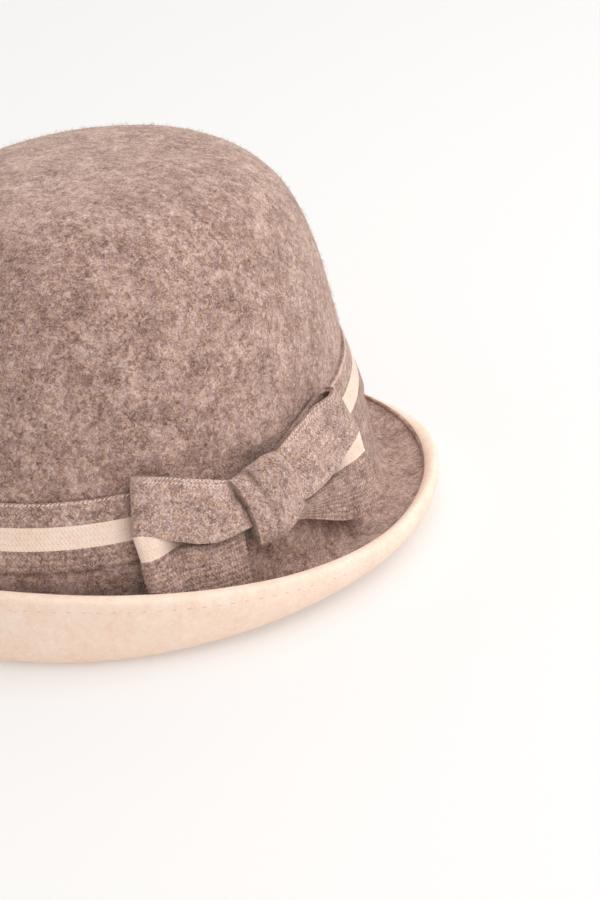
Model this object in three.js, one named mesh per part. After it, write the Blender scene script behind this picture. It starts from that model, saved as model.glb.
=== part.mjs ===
// Cloche hat of felted wool: a round crown, a rolled brim with a pale facing, a striped knitted band
// and a flat bow of wide striped ribbon on the wearer's left.
// Millimetres, +Z up. The front of the hat looks along -Y and the wearer's left is +X.
// The origin lies on the table, under the middle of the brim's outline.

import * as THREE from "three";
import { mergeVertices } from "three/addons/utils/BufferGeometryUtils.js";

// Cloth
const feltThickness = 3;
const facingThickness = 2.8;
const clothGap = 0.3;

// Crown, measured outside at the upper edge of the band
const crownHeight = 153;
const headLength = 209;
const headWidth = 184;
const crownShoulder = 2.78;
const crownRoundness = 3.25;
const crownTaper = 0.16;

// Band. It flares and leans forward with the wall. Its edges are broken by the corner, and the felt
// comes back out to the crown's surface one ledge above it and half a ledge below it.
const bandTopHeight = 63.4;
const bandDrop = 23.2;
const bandFlareLength = 9.2;
const bandFlareWidth = 5.8;
const bandForwardTilt = 8.6;
const bandThickness = 1.8;
const bandProud = 0.4;
const bandCorner = 0.5;
const feltLedge = 1.8;

// Brim: how far its rim stands out from the lower edge of the band, how high the rim is rolled up, how long
// the sides keep both (a higher spread keeps them longer), and how far the sides are lifted off the table
const rimOutFront = 5.4;
const rimOutSide = 23.2;
const rimOutBack = 15.5;
const rimHeightFront = 30.7;
const rimHeightSide = 13.2;
const rimHeightBack = 9.5;
const rimOutSpread = 2.5;
const rimHeightSpread = 1.35;
const sideLift = 4.6;
const restFlattening = 0.8;
const lipHeight = 1.5;

// Bow. The front of each loop is pressed in along a pleat, and its panels bulge above and below the pleat.
const bowAngle = THREE.MathUtils.degToRad(60.5);
const bowHalfLength = 55;
const bowEndHeight = 50;
const bowMiddleHeight = 43.6;
const bowThickness = 2;
const bowPuff = 4;
const panelBulge = 1.3;
const pleatDepth = 1.5;
const pleatSharpness = 0.7;
const knotWidth = 21.6;
const knotHeight = 27.5;
const knotDepth = 11;
const knotRoundness = 3;

// How finely the surfaces are divided
const stepsAround = 54;
const crownRings = 10;
const brimRings = 15;
const bowColumns = 8;
const bowRows = 12;
const knotPoints = 16;
const angleStep = (2 * Math.PI) / stepsAround;

const brown = new THREE.Color(0x8f7b70);
const ribbonBrown = new THREE.Color(0x94806f);
const cream = new THREE.Color(0xeddccd);

// A level holds three reaches from the hat's axis and three heights, at the front, the side and the back.
function level(out, up) {
  return { out: new THREE.Vector3(...out), up: new THREE.Vector3(...up) };
}

function levelPoint({ out, up }, angle) {
  const c = Math.cos(angle);
  const forward = (c * (out.x + out.z)) / 2 + (c * c * (out.x - out.z)) / 2;
  const sideways = out.y * Math.sin(angle);
  const lengthwise = (up.x + up.z) / 2;
  const mean = (lengthwise + up.y) / 2;
  const wave = (lengthwise - up.y) / 2;
  const height = mean + (c * (up.x - up.z)) / 2 + wave * Math.cos(2 * angle);
  return new THREE.Vector3(sideways, -forward, height);
}

// Band edges, on the outside of the band
const bandFlares = [bandFlareLength, bandFlareWidth, bandFlareLength];
const bandTop = level(
  [headLength / 2, headWidth / 2, headLength / 2].map((reach) => reach + bandProud),
  [bandTopHeight - bandForwardTilt / 2, bandTopHeight, bandTopHeight + bandForwardTilt / 2],
);
const bandFoot = level(
  bandFlares.map((flare, i) => bandTop.out.getComponent(i) + flare),
  bandTop.up.toArray().map((height) => height - bandDrop),
);

function betweenBandEdges(share) {
  return {
    out: bandTop.out.clone().lerp(bandFoot.out, share),
    up: bandTop.up.clone().lerp(bandFoot.up, share),
  };
}

// The felt under the band is pressed in by the band's thickness
const bandSlopes = bandFlares.map((flare) => Math.hypot(1, flare / bandDrop));
const pressedIn = new THREE.Vector3(...bandSlopes.map((slope) => slope * (bandThickness + clothGap)));

function pressedLevel(share) {
  const { out, up } = betweenBandEdges(share);
  return { out: out.sub(pressedIn), up };
}

// Crown: levels from the top down to the band
function crownLevel(turn) {
  const rise = Math.sin(turn) ** (2 / crownShoulder);
  const narrowing = Math.cos(turn) ** (2 / crownRoundness) * (1 - crownTaper * rise * (1 - rise));
  const heights = bandTop.up.toArray().map((height) => THREE.MathUtils.lerp(height, crownHeight, rise));
  return level([headLength / 2, headWidth / 2, headLength / 2].map((reach) => reach * narrowing), heights);
}

function crownLevels() {
  const levels = [];
  for (let i = crownRings; i >= 1; i -= 1) {
    levels.push(crownLevel((Math.PI / 2) * ((i - 0.5) / crownRings)));
  }
  const ledge = crownLevel(0);
  ledge.up.addScalar(feltLedge);
  return [...levels, ledge];
}

// Brim: out is the share of the way from the band's lower edge to the rim.
// On the wall, up is the share of the way from the fold to the band's lower edge, and on the brim it is
// the share of the way from the fold to the rim.
const wallSections = [
  { name: "under_band", out: [0.02, 0.01, 0.02], up: [0.915, 0.92, 0.92] },
  { name: "wall_middle", out: [0, 0.08, 0.08], up: [0.56, 0.6, 0.6] },
  { name: "wall_low", out: [-0.16, 0.14, 0.12], up: [0.22, 0.28, 0.28] },
  { name: "wall_foot", out: [-0.2, 0.23, 0.2], up: [0.06, 0.1, 0.09] },
];
const brimSections = [
  { name: "fold_inner", out: [-0.06, 0.38, 0.27], up: [0, 0, 0] },
  { name: "fold_outer", out: [0.14, 0.56, 0.43], up: [0, 0.08, 0.05] },
  { name: "brim_low", out: [0.36, 0.79, 0.61], up: [0.1, 0.27, 0.47] },
  { name: "brim_curl", out: [0.68, 0.95, 0.79], up: [0.4, 0.52, 0.7] },
  { name: "brim_upper", out: [0.93, 1.01, 0.92], up: [0.75, 0.8, 0.87] },
  { name: "rim", out: [1, 1, 1], up: [1, 1, 1] },
];

const rimOut = [rimOutFront, rimOutSide, rimOutBack];
const rimUp = [rimHeightFront, rimHeightSide, rimHeightBack];
const restingFold = feltThickness + clothGap + facingThickness - restFlattening;
const foldUp = [restingFold, restingFold + sideLift, restingFold];

function sectionLevel(section, heights) {
  const out = section.out.map((share, i) => share * rimOut[i] - bandProud);
  const up = section.up.map((share, i) => THREE.MathUtils.lerp(foldUp[i], heights[i], share));
  return level(out, up);
}

// The side's value, passing into the front's and the back's value. A higher power keeps the side's longer.
function blend(values, angle, power) {
  const c = Math.cos(angle);
  const end = c > 0 ? values.x : values.z;
  return THREE.MathUtils.lerp(values.y, end, Math.abs(c) ** power);
}

// Brim points stand straight out from the lower edge of the band
function brimPoint({ out, up }, angle) {
  const foot = levelPoint(bandFoot, angle);
  const ahead = levelPoint(bandFoot, angle + angleStep).sub(levelPoint(bandFoot, angle - angleStep));
  const outward = new THREE.Vector3(ahead.y, -ahead.x, 0).normalize();
  foot.addScaledVector(outward, blend(out, angle, rimOutSpread));
  return foot.setZ(blend(up, angle, rimHeightSpread));
}

function brimLevels() {
  const wall = wallSections.map((section) => sectionLevel(section, bandFoot.up.toArray()));
  const brim = brimSections.map((section) => sectionLevel(section, rimUp));
  const sections = [...wall, ...brim];
  const outCurve = new THREE.CatmullRomCurve3(sections.map(({ out }) => out), false, "catmullrom");
  const upCurve = new THREE.CatmullRomCurve3(sections.map(({ up }) => up), false, "catmullrom");
  const levels = [];
  for (let i = 0; i <= brimRings; i += 1) {
    levels.push({ out: outCurve.getPoint(i / brimRings), up: upCurve.getPoint(i / brimRings) });
  }
  return levels;
}

// Grids: a grid is a list of rings or rows, each with the same number of points
function ringGrid(levels, pointOf) {
  return levels.map((one) => {
    const ring = [];
    for (let j = 0; j < stepsAround; j += 1) {
      ring.push(pointOf(one, j * angleStep));
    }
    return ring;
  });
}

function acrossRing(ring, j) {
  const behind = ring[(j + ring.length - 1) % ring.length];
  return ring[(j + 1) % ring.length].clone().sub(behind);
}

// The same surface, moved by depth towards the inside of the hat
function sunkGrid(grid, depth) {
  const last = grid.length - 1;
  return grid.map((ring, i) => ring.map((point, j) => {
    const down = grid[Math.min(i + 1, last)][j].clone().sub(grid[Math.max(i - 1, 0)][j]);
    const outward = down.cross(acrossRing(ring, j)).normalize();
    return point.clone().addScaledVector(outward, -depth);
  }));
}

// Triangles between neighbouring rings. The last point of a ring is joined to its first, and in a closed
// set the last ring is joined to the first ring.
function joinRings(rings, closed) {
  const faces = [];
  const count = rings[0].length;
  const pairs = closed ? rings.length : rings.length - 1;
  for (let i = 0; i < pairs; i += 1) {
    const upper = rings[i];
    const lower = rings[(i + 1) % rings.length];
    for (let j = 0; j < count; j += 1) {
      const k = (j + 1) % count;
      faces.push([upper[j], lower[j], lower[k]], [upper[j], lower[k], upper[k]]);
    }
  }
  return faces;
}

function fan(centre, ring) {
  return ring.map((point, j) => [centre, point, ring[(j + 1) % ring.length]]);
}

function turned(faces) {
  return faces.map(([a, b, c]) => [a, c, b]);
}

function makeMesh(name, faces, material) {
  const positions = faces.flat().flatMap((point) => point.toArray());
  const geometry = new THREE.BufferGeometry();
  geometry.setAttribute("position", new THREE.Float32BufferAttribute(positions, 3));
  const welded = mergeVertices(geometry);
  welded.computeVertexNormals();
  const mesh = new THREE.Mesh(welded, material);
  mesh.name = name;
  return mesh;
}

function wool(color) {
  return new THREE.MeshStandardMaterial({ color, roughness: 0.95, metalness: 0 });
}

// Hat body: crown, wall and the upper layer of the brim in one felted shell
const brimGrid = ringGrid(brimLevels(), brimPoint);

function hatBody() {
  const crown = ringGrid(crownLevels(), levelPoint);
  const pressedShares = [-clothGap / bandDrop, 1 + feltLedge / 2 / bandDrop];
  const pressed = ringGrid(pressedShares.map(pressedLevel), levelPoint);
  const outside = [...crown, ...pressed, ...brimGrid];
  const crownInside = sunkGrid(outside, feltThickness).slice(0, crown.length - 1);
  const wallInside = sunkGrid([...pressed, ...brimGrid], feltThickness);
  const rings = [...outside, ...[...crownInside, ...wallInside].reverse()];
  const top = new THREE.Vector3(0, 0, crownHeight);
  const under = new THREE.Vector3(0, 0, crownHeight - feltThickness);
  const faces = [...fan(top, rings[0]), ...joinRings(rings, false), ...turned(fan(under, rings.at(-1)))];
  return makeMesh("hat_body", faces, wool(brown));
}

// Brim facing: the pale layer under the brim, rolled over its rim and round the fold to the head opening.
// Each lip point has a share of the facing's outer depth and a share of the lip's height.
const lipSections = [
  { name: "against_rim", depth: 1, height: 0.12, from: "inner" },
  { name: "edge_seam", depth: 0.03, height: 0.12, from: "outer" },
  { name: "lip_front", depth: 0.12, height: 0.7, from: "outer" },
  { name: "lip_top", depth: 0.45, height: 1, from: "outer" },
  { name: "lip_back", depth: 0.85, height: 0.75, from: "outer" },
];
const facingStart = 0.22;

function brimFacing() {
  const innerDepth = feltThickness + clothGap;
  const outerDepth = innerDepth + facingThickness;
  const first = Math.round(facingStart * brimRings);
  const rested = (point) => point.setZ(Math.max(point.z, 0));
  const inner = sunkGrid(brimGrid, innerDepth).slice(first);
  const outer = sunkGrid(brimGrid, outerDepth).slice(first).map((ring) => ring.map(rested));
  const rim = brimGrid.at(-1);
  const lips = lipSections.map(({ depth, height, from }) => rim.map((point, j) => {
    const target = from === "inner" ? inner.at(-1)[j] : outer.at(-1)[j];
    const rise = target.clone().sub(point).cross(acrossRing(rim, j)).normalize();
    return point.clone().lerp(target, depth).addScaledVector(rise, clothGap + height * lipHeight);
  }));
  const rings = [...outer, ...lips.reverse(), ...inner.reverse()];
  return makeMesh("brim_facing", turned(joinRings(rings, true)), wool(cream));
}

// A point off the outside of the band: share 0 is its upper edge and share 1 its lower edge
function bandPoint(share, angle, off) {
  const here = betweenBandEdges(share);
  const point = levelPoint(here, angle);
  const upper = levelPoint(bandTop, angle);
  const lower = levelPoint(bandFoot, angle);
  const ahead = levelPoint(here, angle + angleStep);
  const outward = lower.clone().sub(upper).cross(ahead.sub(point)).normalize();
  return point.addScaledVector(outward, off);
}

// Hat band: one ring with slightly broken edges
function hatBand() {
  const corner = bandCorner / bandDrop;
  const section = [
    [0, -bandCorner],
    [corner, 0],
    [0.5, 0],
    [1 - corner, 0],
    [1, -bandCorner],
    [1, -bandThickness],
    [0, -bandThickness],
  ];
  const rings = ringGrid(section, ([share, off], angle) => bandPoint(share, angle, off));
  return makeMesh("hat_band", joinRings(rings, true), wool(ribbonBrown));
}

// Bow places: along is measured round the band from the bow's middle, positive towards the back of the hat,
// up is the height above the table, and off is the distance off the band. Above and below the band the bow
// stands straight up, and bandEdgeSoftness is the share of the band over which it turns upright.
const bowSpread = 0.5;
const bowEnds = [bowAngle - bowSpread, bowAngle + bowSpread].map((angle) => bandPoint(1 / 2, angle, 0));
const bowRadius = bowEnds[0].distanceTo(bowEnds[1]) / (2 * Math.sin(bowSpread));
const bandEdgeSoftness = 0.14;

function bowPoint(along, up, off) {
  const angle = bowAngle + along / bowRadius;
  const share = (levelPoint(bandTop, angle).z - up) / bandDrop;
  const softShare = (share + Math.hypot(share, bandEdgeSoftness)) / 2;
  const point = bandPoint(softShare, angle, off + clothGap);
  const heightAsked = up + (point.z - levelPoint(betweenBandEdges(softShare), angle).z);
  return point.setZ(heightAsked);
}

// Bow loop: one ribbon laid from the knot out to its fold and back again, open above and below.
// along is the share of the loop's length, off the share of the puff, and pleat the share of the pleat that
// divides the front of the loop into an upper and a lower panel.
const loopSections = [
  { name: "front_at_knot", along: 0, off: 0.95, pleat: 1 },
  { name: "front_inner", along: 0.2, off: 1.15, pleat: 1 },
  { name: "front_middle", along: 0.5, off: 1.25, pleat: 0.9 },
  { name: "front_outer", along: 0.82, off: 1.12, pleat: 0.45 },
  { name: "front_end", along: 0.96, off: 0.86, pleat: 0.1 },
  { name: "fold", along: 1, off: 0.5, pleat: 0 },
  { name: "back_end", along: 0.96, off: 0.14, pleat: 0 },
  { name: "back_outer", along: 0.8, off: 0, pleat: 0 },
  { name: "back_middle", along: 0.45, off: 0, pleat: 0 },
  { name: "back_at_knot", along: 0, off: 0, pleat: 0 },
];

// The two loops differ. Heights are from the bow's middle, as shares of the ribbon's height, at the knot
// and at the loop's end. topCut and footCut are how much shorter the loop is at its upper and lower corner,
// and tuck is how far its lower edge is pressed towards the crown. pleatAt is where the pleat lies across
// the ribbon, from -1 at its lower edge to 1 at its upper edge.
const loops = [
  {
    name: "bow_loop_front",
    side: -1,
    reach: 0.94,
    top: { knot: 0.22, end: 0.43 },
    foot: { knot: -0.43, end: -0.39 },
    topCut: 0,
    footCut: 0.15,
    tuck: 0.6,
    pleatAt: 0,
  },
  {
    name: "bow_loop_back",
    side: 1,
    reach: 1,
    top: { knot: 0.27, end: 0.47 },
    foot: { knot: -0.2, end: -0.57 },
    topCut: 0.18,
    footCut: 0.02,
    tuck: 0.1,
    pleatAt: -1 / 6,
  },
];

function bowLoop({ name, side, reach, top, foot, topCut, footCut, tuck, pleatAt }) {
  const start = knotWidth / 2 + clothGap;
  const length = bowHalfLength * reach - start;
  const curve = (key) => {
    const points = loopSections.map((section) => new THREE.Vector3(section[key], 0, 0));
    return new THREE.CatmullRomCurve3(points, false, "catmullrom");
  };
  const alongCurve = curve("along");
  const offCurve = curve("off");
  const pleatCurve = curve("pleat");
  const ribbonPoint = (part, across) => {
    const out = alongCurve.getPoint(part).x;
    const upper = THREE.MathUtils.lerp(top.knot, top.end, out);
    const lower = THREE.MathUtils.lerp(foot.knot, foot.end, out);
    const up = bowMiddleHeight + bowEndHeight * THREE.MathUtils.lerp(lower, upper, (across + 1) / 2);
    const high = Math.max(0, across);
    const low = Math.max(0, -across);
    const along = start + out * length * (1 - topCut * high ** 3 - footCut * low ** 3);
    const panel = across > pleatAt ? (across - pleatAt) / (1 - pleatAt) : (pleatAt - across) / (1 + pleatAt);
    const relief = panelBulge * Math.sin(Math.PI * panel ** pleatSharpness) - pleatDepth * (1 - panel) ** 4;
    const puff = offCurve.getPoint(part).x * bowPuff * (1 - tuck * low * low);
    const off = puff + pleatCurve.getPoint(part).x * relief + bowThickness / 2;
    return { along, up, off };
  };
  const place = ({ along, up, off }) => bowPoint(side * along, up, off);
  const steps = 2 * bowColumns;
  const middleLine = (across) => {
    const line = [];
    for (let i = 0; i <= steps; i += 1) {
      line.push(ribbonPoint(i / steps, across));
    }
    return line;
  };
  // Each column of the ribbon is a closed strip: its outer side out and back along its inner side
  const strip = (across) => {
    const line = middleLine(across);
    const offset = (i, way) => {
      const before = line[Math.max(i - 1, 0)];
      const after = line[Math.min(i + 1, steps)];
      const run = new THREE.Vector2(after.along - before.along, after.off - before.off).normalize();
      const half = (way * bowThickness) / 2;
      return place({
        along: line[i].along - run.y * half,
        up: line[i].up,
        off: line[i].off + run.x * half,
      });
    };
    const outer = line.map((_, i) => offset(i, 1));
    const inner = line.map((_, i) => offset(i, -1));
    return [...outer, ...inner.reverse()];
  };
  const strips = [];
  for (let i = 0; i <= bowRows; i += 1) {
    strips.push(strip((2 * i) / bowRows - 1));
  }
  const capFaces = (ring) => {
    const faces = [];
    for (let i = 0; i < steps; i += 1) {
      const far = ring.length - 1 - i;
      faces.push([ring[i], ring[i + 1], ring[far]], [ring[i + 1], ring[far - 1], ring[far]]);
    }
    return faces;
  };
  const walls = joinRings(strips, false);
  const faces = [...walls, ...capFaces(strips[0]), ...turned(capFaces(strips.at(-1)))];
  return makeMesh(name, side > 0 ? turned(faces) : faces, wool(ribbonBrown));
}

// Bow knot: a rounded bundle, widest in its middle, with flat sides where the loops leave it
const knotSections = [
  { name: "front_side", along: -1, size: 0.84 },
  { name: "front_shoulder", along: -0.8, size: 0.94 },
  { name: "front_third", along: -0.35, size: 1 },
  { name: "back_third", along: 0.35, size: 1 },
  { name: "back_shoulder", along: 0.8, size: 0.94 },
  { name: "back_side", along: 1, size: 0.84 },
];

function bowKnot() {
  const power = (value) => Math.sign(value) * Math.abs(value) ** (2 / knotRoundness);
  const rings = knotSections.map(({ along, size }) => {
    const ring = [];
    for (let i = 0; i < knotPoints; i += 1) {
      const turn = (2 * Math.PI * i) / knotPoints;
      const up = bowMiddleHeight + (power(Math.cos(turn)) * size * knotHeight) / 2;
      const off = (knotDepth / 2) * (1 + power(Math.sin(turn)) * size);
      ring.push(bowPoint((along * knotWidth) / 2, up, off));
    }
    return ring;
  });
  const centre = (ring) => {
    const sum = ring.reduce((total, point) => total.add(point), new THREE.Vector3());
    return sum.divideScalar(ring.length);
  };
  const caps = [...fan(centre(rings[0]), rings[0]), ...turned(fan(centre(rings.at(-1)), rings.at(-1)))];
  return makeMesh("bow_knot", turned([...caps, ...joinRings(rings, false)]), wool(ribbonBrown));
}

const hat = new THREE.Group();
hat.add(hatBody(), brimFacing(), hatBand(), ...loops.map(bowLoop), bowKnot());

// Stand the hat with the middle of its outline over the origin
const outline = new THREE.Box3().setFromObject(hat);
hat.position.set(-(outline.min.x + outline.max.x) / 2, -(outline.min.y + outline.max.y) / 2, -outline.min.z);

export default hat;
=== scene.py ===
import math

import bpy
import numpy as np
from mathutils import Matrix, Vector, noise


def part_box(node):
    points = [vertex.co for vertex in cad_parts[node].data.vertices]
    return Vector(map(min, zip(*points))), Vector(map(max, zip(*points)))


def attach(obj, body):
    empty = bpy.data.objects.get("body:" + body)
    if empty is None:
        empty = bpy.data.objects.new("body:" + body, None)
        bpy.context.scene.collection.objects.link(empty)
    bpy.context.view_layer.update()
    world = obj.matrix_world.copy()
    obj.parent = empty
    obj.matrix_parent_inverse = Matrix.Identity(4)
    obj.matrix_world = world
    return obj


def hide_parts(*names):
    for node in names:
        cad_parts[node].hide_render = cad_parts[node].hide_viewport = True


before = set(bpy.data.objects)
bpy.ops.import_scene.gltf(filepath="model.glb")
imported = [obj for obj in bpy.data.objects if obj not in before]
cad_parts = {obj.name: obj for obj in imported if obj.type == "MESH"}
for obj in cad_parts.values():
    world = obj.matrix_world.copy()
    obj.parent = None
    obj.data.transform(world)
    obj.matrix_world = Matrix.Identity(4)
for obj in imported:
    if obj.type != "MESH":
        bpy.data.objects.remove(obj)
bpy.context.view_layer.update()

# Sizes in metres, heights above the table. Angles go round the hat from its front towards the bow's side.
MM = 0.001

# Band edges: reach and height at the front, the side and the back
band_low, band_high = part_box("hat_band")
HAT_MIDDLE_Y = (band_low.y + band_high.y) / 2
BAND_TOP_REACH = (104.9 * MM, 92.4 * MM, 104.9 * MM)
BAND_FOOT_REACH = (114.1 * MM, 98.2 * MM, 114.1 * MM)
BAND_TOP_HEIGHT = (59.1 * MM, 63.4 * MM, 67.7 * MM)
BAND_DROP = 23.2 * MM
BAND_FOOT_HEIGHT = tuple(height - BAND_DROP for height in BAND_TOP_HEIGHT)
BAND_STRIPE = (0.35, 0.69)

# The felt's rim at the front, the side and the back: how far outside the band's foot, and how high.
# The powers say how soon the side's value passes into the front's and the back's. The lip stands higher.
RIM_OUT = (5.0 * MM, 22.8 * MM, 15.1 * MM)
RIM_UP = (30.7 * MM, 13.2 * MM, 9.5 * MM)
RIM_OUT_POWER = 2.5
RIM_UP_POWER = 1.35
LIP_ABOVE_FELT = 1.5 * MM

# Ribbon of the bow
BOW_ANGLE = math.radians(60.5)
BOW_SPREAD = 0.5
RIBBON_WIDTH = 54 * MM
RIBBON_STRIPE = (0.415, 0.585)
RIBBON_THICKNESS = 1.5 * MM
BAND_EDGE_SOFTNESS = 0.14
CLOTH_GAP = 0.3 * MM

RIB_PITCH = 2.0 * MM
RIB_HEIGHT = 0.42 * MM
RIB_SHARE = 0.8
STITCH_PITCH = 1.5 * MM

# How strong the ribs are at a place across the stripes: the upper brown, the cream and the lower brown
RIB_STRENGTHS = ((0, 0.4), (0.9, 0.4), (1.05, 0.15), (1.95, 0.15), (2.1, 1), (3, 1))


# Places on the hat

def level_point(reach, height, angle):
    """Points of the oval that has this reach and height at the front, the side and the back."""
    turn = np.cos(angle)
    forward = turn * (reach[0] + reach[2]) / 2 + turn**2 * (reach[0] - reach[2]) / 2
    sideways = np.sin(angle) * reach[1]
    lengthwise = (height[0] + height[2]) / 2
    up = (lengthwise + height[1]) / 2 + turn * (height[0] - height[2]) / 2
    up = up + (lengthwise - height[1]) / 2 * np.cos(2 * angle)
    return np.stack([sideways, HAT_MIDDLE_Y - forward, up], -1)


def unit(vectors):
    return vectors / np.linalg.norm(vectors, axis=-1, keepdims=True)


def band_point(share, angle, off):
    """Points off the outside of the band; share is 0 at its upper edge and 1 at its lower edge."""
    step = math.radians(2)
    upper = level_point(BAND_TOP_REACH, BAND_TOP_HEIGHT, angle)
    lower = level_point(BAND_FOOT_REACH, BAND_FOOT_HEIGHT, angle)
    share = np.asarray(share)[..., None]
    here = upper + (lower - upper) * share
    ahead = level_point(BAND_TOP_REACH, BAND_TOP_HEIGHT, angle + step) * (1 - share)
    ahead = ahead + level_point(BAND_FOOT_REACH, BAND_FOOT_HEIGHT, angle + step) * share
    outward = unit(np.cross(lower - upper, ahead - here))
    return here + outward * np.asarray(off)[..., None]


bow_ends = [band_point(0.5, BOW_ANGLE + side * BOW_SPREAD, 0) for side in (-1, 1)]
BOW_RADIUS = np.linalg.norm(bow_ends[1] - bow_ends[0]) / (2 * math.sin(BOW_SPREAD))


def bow_point(along, up, off):
    """Points by their distance from the bow's middle round the band, height and distance off the band."""
    along, up, off = np.broadcast_arrays(along, up, off)
    angle = BOW_ANGLE + along / BOW_RADIUS
    share = (level_point(BAND_TOP_REACH, BAND_TOP_HEIGHT, angle)[..., 2] - up) / BAND_DROP
    share = (share + np.hypot(share, BAND_EDGE_SOFTNESS)) / 2
    point = band_point(share, angle, off + CLOTH_GAP)
    plain = band_point(share, angle, np.zeros_like(off))
    point[..., 2] += up - plain[..., 2]
    return point


def softness(t, low, high):
    """Smooth step from 0 to 1."""
    t = np.clip((t - low) / (high - low), 0, 1)
    return t * t * (3 - 2 * t)


def bell(t, middle, width):
    return np.exp(-(((t - middle) / width) ** 2))


# Mesh helpers

WELD_DISTANCE = 0.001 * MM


def new_object(name, vertices, faces):
    mesh = bpy.data.meshes.new(name)
    mesh.from_pydata(np.asarray(vertices).reshape(-1, 3).tolist(), [], faces)
    mesh.update()
    piece = bpy.data.objects.new(name, mesh)
    bpy.context.collection.objects.link(piece)
    return piece


def only(piece):
    """Selects this piece alone and makes it active."""
    bpy.ops.object.select_all(action="DESELECT")
    piece.select_set(True)
    bpy.context.view_layer.objects.active = piece


FELT_SMOOTHING = 80
BAND_SMOOTHING = 70
RIBBON_SMOOTHING = 60


def smooth(piece, angle):
    only(piece)
    bpy.ops.object.shade_smooth_by_angle(angle=math.radians(angle))


def grid_faces(rows, columns, first, closed):
    faces = []
    for i in range(rows - 1):
        for j in range(columns if closed else columns - 1):
            k = (j + 1) % columns
            a = first + i * columns
            b = a + columns
            faces.append((a + j, b + j, b + k, a + k))
    return faces


def grid_normals(points, closed):
    """Normals of a grid of points; closed grids go all the way round along their columns."""
    down = np.gradient(points, axis=0)
    if closed:
        across = np.roll(points, -1, axis=1) - np.roll(points, 1, axis=1)
    else:
        across = np.gradient(points, axis=1)
    return unit(np.cross(down, across))


def mark_ribbon(piece, run, across, stripe, shade):
    """The piece's own places: along and across the ribbon in metres, its stripe, and its painted shade."""
    places = piece.data.attributes.new("ribbon", "FLOAT_VECTOR", "POINT")
    places.data.foreach_set("vector", np.stack([run, across, stripe], -1).ravel().astype(np.float32))
    folds = piece.data.attributes.new("fold", "FLOAT", "POINT")
    folds.data.foreach_set("value", shade.ravel().astype(np.float32))


def cloth_shell(name, points, relief, marks, closed=False, thickness=RIBBON_THICKNESS):
    """A knitted strip as one closed shell: its rows go across the ribbon and its columns along it."""
    rows, columns, _ = points.shape
    normals = grid_normals(points, closed)
    outer = points + normals * (thickness / 2 + relief)[..., None]
    inner = points - normals * (thickness / 2)
    count = rows * columns
    faces = grid_faces(rows, columns, 0, closed)
    faces += [tuple(reversed(face)) for face in grid_faces(rows, columns, count, closed)]
    last = (rows - 1) * columns
    for j in range(columns if closed else columns - 1):
        k = (j + 1) % columns
        faces.append((j, k, count + k, count + j))
        faces.append((last + k, last + j, count + last + j, count + last + k))
    if not closed:
        for i in range(rows - 1):
            a, b = i * columns, (i + 1) * columns
            faces.append((b, a, count + a, count + b))
            a, b = a + columns - 1, b + columns - 1
            faces.append((a, b, count + b, count + a))
    piece = new_object(name, np.concatenate([outer.reshape(-1, 3), inner.reshape(-1, 3)]), faces)
    both = [np.tile(np.broadcast_to(mark, (rows, columns)).ravel(), 2) for mark in marks]
    mark_ribbon(piece, *both)
    return piece


def ribs(across, along, strength):
    """Relief of a rib knit, with its ribs along the ribbon and its stitches across them."""
    rib = 0.5 + 0.5 * np.cos(2 * math.pi * across / RIB_PITCH)
    stitch = 0.5 + 0.5 * np.cos(2 * math.pi * along / STITCH_PITCH)
    return RIB_HEIGHT * (RIB_SHARE * rib + (1 - RIB_SHARE) * stitch) * strength


def stripe_place(share, stripe):
    """0 to 1 on the upper brown, 1 to 2 on the cream and 2 to 3 on the lower brown."""
    return np.interp(share, [0, stripe[0], stripe[1], 1], [0, 1, 2, 3])


def rib_strength(stripe):
    """The lower brown is ribbed, the upper brown nearly plain and the cream smooth."""
    return np.interp(stripe, *zip(*RIB_STRENGTHS))


# Felt pieces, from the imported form. Lumps are pairs of size and height.

QUAD_ANGLE = math.radians(50)
FELT_ROUNDS = 2
CROWN_LUMPS = ((26 * MM, 0.35 * MM), (7 * MM, 0.14 * MM), (2.6 * MM, 0.07 * MM))
FACING_LUMPS = ((30 * MM, 0.25 * MM), (6 * MM, 0.1 * MM))


def felt_copy(node, name):
    """A felted piece: the node's form with even faces, smoothed."""
    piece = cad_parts[node].copy()
    piece.data = piece.data.copy()
    piece.name = name
    bpy.context.collection.objects.link(piece)
    piece.data.materials.clear()
    only(piece)
    bpy.ops.mesh.customdata_custom_splitnormals_clear()
    bpy.ops.object.mode_set(mode="EDIT")
    bpy.ops.mesh.select_all(action="SELECT")
    bpy.ops.mesh.remove_doubles(threshold=WELD_DISTANCE)
    bpy.ops.mesh.tris_convert_to_quads(face_threshold=QUAD_ANGLE, shape_threshold=QUAD_ANGLE)
    bpy.ops.object.mode_set(mode="OBJECT")
    rounding = piece.modifiers.new("rounding", "SUBSURF")
    rounding.levels = rounding.render_levels = FELT_ROUNDS
    bpy.ops.object.modifier_apply(modifier=rounding.name)
    return piece


def mesh_points(piece):
    points = np.empty(len(piece.data.vertices) * 3)
    piece.data.vertices.foreach_get("co", points)
    normals = np.empty_like(points)
    piece.data.vertices.foreach_get("normal", normals)
    return points.reshape(-1, 3), normals.reshape(-1, 3)


def lumps(points, size):
    values = [noise.noise(Vector(point) / size) for point in points.reshape(-1, 3)]
    return np.array(values).reshape(points.shape[:-1])


def felt_relief(piece, layers, floor=None):
    """Raises and sinks the felt by soft noise, and keeps it above the floor."""
    points, normals = mesh_points(piece)
    lift = sum(height * lumps(points, size) for size, height in layers)
    points += normals * lift[:, None]
    if floor is not None:
        points[:, 2] = np.maximum(points[:, 2], floor)
    piece.data.vertices.foreach_set("co", points.ravel())
    piece.data.update()


def dress(piece, material, node):
    """Gives the piece its material and its place in the part."""
    piece.data.materials.append(material)
    if node:
        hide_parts(node)
    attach(piece, "root")


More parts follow.
